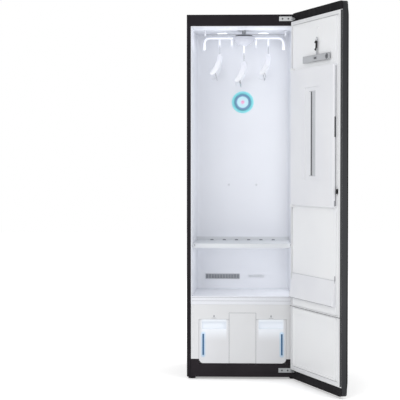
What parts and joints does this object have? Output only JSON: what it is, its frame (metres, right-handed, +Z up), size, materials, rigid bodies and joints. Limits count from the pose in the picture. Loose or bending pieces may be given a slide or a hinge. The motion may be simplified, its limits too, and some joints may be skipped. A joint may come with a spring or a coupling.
{
  "type": "clothes care steam cabinet",
  "caption": "Tall mirrored-door cabinet that steams hanging clothes on a moving bar, with a shelf, pull-out water tanks and a hinged trouser press inside the door.",
  "frame": {"origin": "centre of the underside of the base tray; the feet reach 13 mm below it", "axes": "+Z up, +X to the right seen from the front, +Y towards the wall; the door opens to -Y"},
  "size_m": [0.8185, 1.1315, 1.96],
  "materials": {
    "painted_steel": "satin black-brown paint",
    "galvanised_steel": "galvanised sheet",
    "frame_black": "fine matt",
    "liner_white": "satin",
    "module_white": "satin",
    "tank_white": "smooth",
    "window_blue": "clear tinted",
    "lamp_diffuser": "opal",
    "lamp_cap": "opal",
    "bar_white": "gloss",
    "hanger_white": "satin",
    "plated_steel": "plated",
    "rail_aluminium": "anodised grey",
    "mirror_glass": "tinted mirror",
    "door_foam": "painted skin over foam",
    "gasket": "soft",
    "black_plastic": "matt",
    "grey_plastic": "satin",
    "machine_black": "black enamel",
    "exchanger": "finned",
    "boiler": "bare sheet",
    "board": "resin board"
  },
  "bodies": {
    "cabinet": {"outer_shell": "painted_steel", "rear_cover": "galvanised_steel", "base_frame": "galvanised_steel", "foot_front_left": "black_plastic", "foot_rear_left": "black_plastic", "foot_front_right": "black_plastic", "foot_rear_right": "black_plastic", "cord_gland": "black_plastic", "front_frame": "frame_black", "kick_plate": "frame_black", "chamber_liner": "liner_white", "halo_diffuser": "lamp_diffuser", "halo_cap": "lamp_cap", "ceiling_light_left": "lamp_diffuser", "ceiling_light_right": "lamp_diffuser", "steam_outlet": "grey_plastic", "module_fascia": "module_white", "centre_cover": "module_white", "tank_bay": "module_white", "compressor": "machine_black", "heat_exchanger": "exchanger", "fan_housing": "black_plastic", "steam_generator": "boiler", "water_pump": "black_plastic", "control_board": "board", "drive_plate": "galvanised_steel", "hanger_motor": "machine_black", "hinge_bracket_top": "plated_steel", "hinge_bracket_bottom": "plated_steel"},
    "door": {"door_core": "door_foam", "side_rail_hinge": "rail_aluminium", "side_rail_free": "rail_aluminium", "mirror_glass": "mirror_glass", "door_liner": "liner_white", "door_gasket": "gasket", "display_module": "black_plastic", "hem_guide": "liner_white"},
    "moving_bar": {"hanger_carriage": "grey_plastic", "hanger_bar": "bar_white"},
    "crank": {"hanger_crank": "plated_steel"},
    "left_hanger": {"hanger_hook_left": "plated_steel", "hanger_left": "hanger_white"},
    "centre_hanger": {"hanger_hook_centre": "plated_steel", "hanger_centre": "hanger_white"},
    "right_hanger": {"hanger_hook_right": "plated_steel", "hanger_right": "hanger_white"},
    "supply_tank": {"supply_tank": "tank_white", "supply_tank_lid": "tank_white", "supply_tank_window": "window_blue"},
    "drain_tank": {"drain_tank": "tank_white", "drain_tank_lid": "tank_white", "drain_tank_window": "window_blue"},
    "press_cover": {"press_cover": "liner_white"},
    "press_release": {"press_release_button": "black_plastic"},
    "trouser_hanger": {"trouser_hook": "black_plastic", "trouser_clamp": "grey_plastic"},
    "clamp_jaw": {"clamp_jaw": "grey_plastic"},
    "fan": {"fan_rotor": "black_plastic"},
    "filter": {"lint_filter": "grey_plastic"},
    "shelf": {"shelf": "module_white"}
  },
  "joints": [
    {"name": "door_hinge", "type": "hinge", "parent": "cabinet", "child": "door", "pos_m": [0.285, -0.306, 0.9735], "axis": [0, 0, 1], "range_deg": [-112, 6]},
    {"name": "hanger_bar_slide", "type": "slide", "parent": "cabinet", "child": "moving_bar", "axis": [1, 0, 0], "range_m": [-0.0265, 0.0135]},
    {"name": "crank_spin", "type": "hinge", "parent": "cabinet", "child": "crank", "pos_m": [0.116, -0.07991, 1.905], "axis": [0, 0, 1], "continuous": true},
    {"name": "hanger_left_swing", "type": "hinge", "parent": "moving_bar", "child": "left_hanger", "pos_m": [-0.1275, -0.061, 1.79647], "axis": [0, 1, 0], "range_deg": [-8, 8]},
    {"name": "hanger_centre_swing", "type": "hinge", "parent": "moving_bar", "child": "centre_hanger", "pos_m": [0.0065, -0.061, 1.75847], "axis": [0, 1, 0], "range_deg": [-8, 8]},
    {"name": "hanger_right_swing", "type": "hinge", "parent": "moving_bar", "child": "right_hanger", "pos_m": [0.1405, -0.061, 1.79647], "axis": [0, 1, 0], "range_deg": [-8, 8]},
    {"name": "supply_tank_slide", "type": "slide", "parent": "cabinet", "child": "supply_tank", "axis": [0, -1, 0], "range_m": [0, 0.115]},
    {"name": "drain_tank_slide", "type": "slide", "parent": "cabinet", "child": "drain_tank", "axis": [0, -1, 0], "range_m": [0, 0.115]},
    {"name": "press_cover_hinge", "type": "hinge", "parent": "door", "child": "press_cover", "pos_m": [0.26227, -0.34091, 1.2865], "axis": [0, 0, -1], "range_deg": [0, 85]},
    {"name": "press_release_push", "type": "slide", "parent": "door", "child": "press_release", "axis": [0.9272, 0.3746, 0], "range_m": [0, 0.004], "stiffness_N_per_m": 300},
    {"name": "trouser_hanger_swing", "type": "hinge", "parent": "door", "child": "trouser_hanger", "pos_m": [0.37428, -0.61506, 1.7904], "axis": [-0.9272, -0.3746, 0], "range_deg": [-10, 10]},
    {"name": "clamp_jaw_hinge", "type": "hinge", "parent": "trouser_hanger", "child": "clamp_jaw", "pos_m": [0.36908, -0.61716, 1.698], "axis": [-0.3746, 0.9272, 0], "range_deg": [0, 25], "stiffness_Nm_per_rad": 0.2},
    {"name": "fan_spin", "type": "hinge", "parent": "cabinet", "child": "fan", "pos_m": [-0.12, -0.026, 0.397], "axis": [0, 0, 1], "continuous": true},
    {"name": "lint_filter_slide", "type": "slide", "parent": "cabinet", "child": "filter", "axis": [0, -1, 0], "range_m": [0, 0.05]},
    {"name": "shelf_slide", "type": "slide", "parent": "cabinet", "child": "shelf", "axis": [0, -1, 0], "range_m": [0, 0.065]}
  ]
}
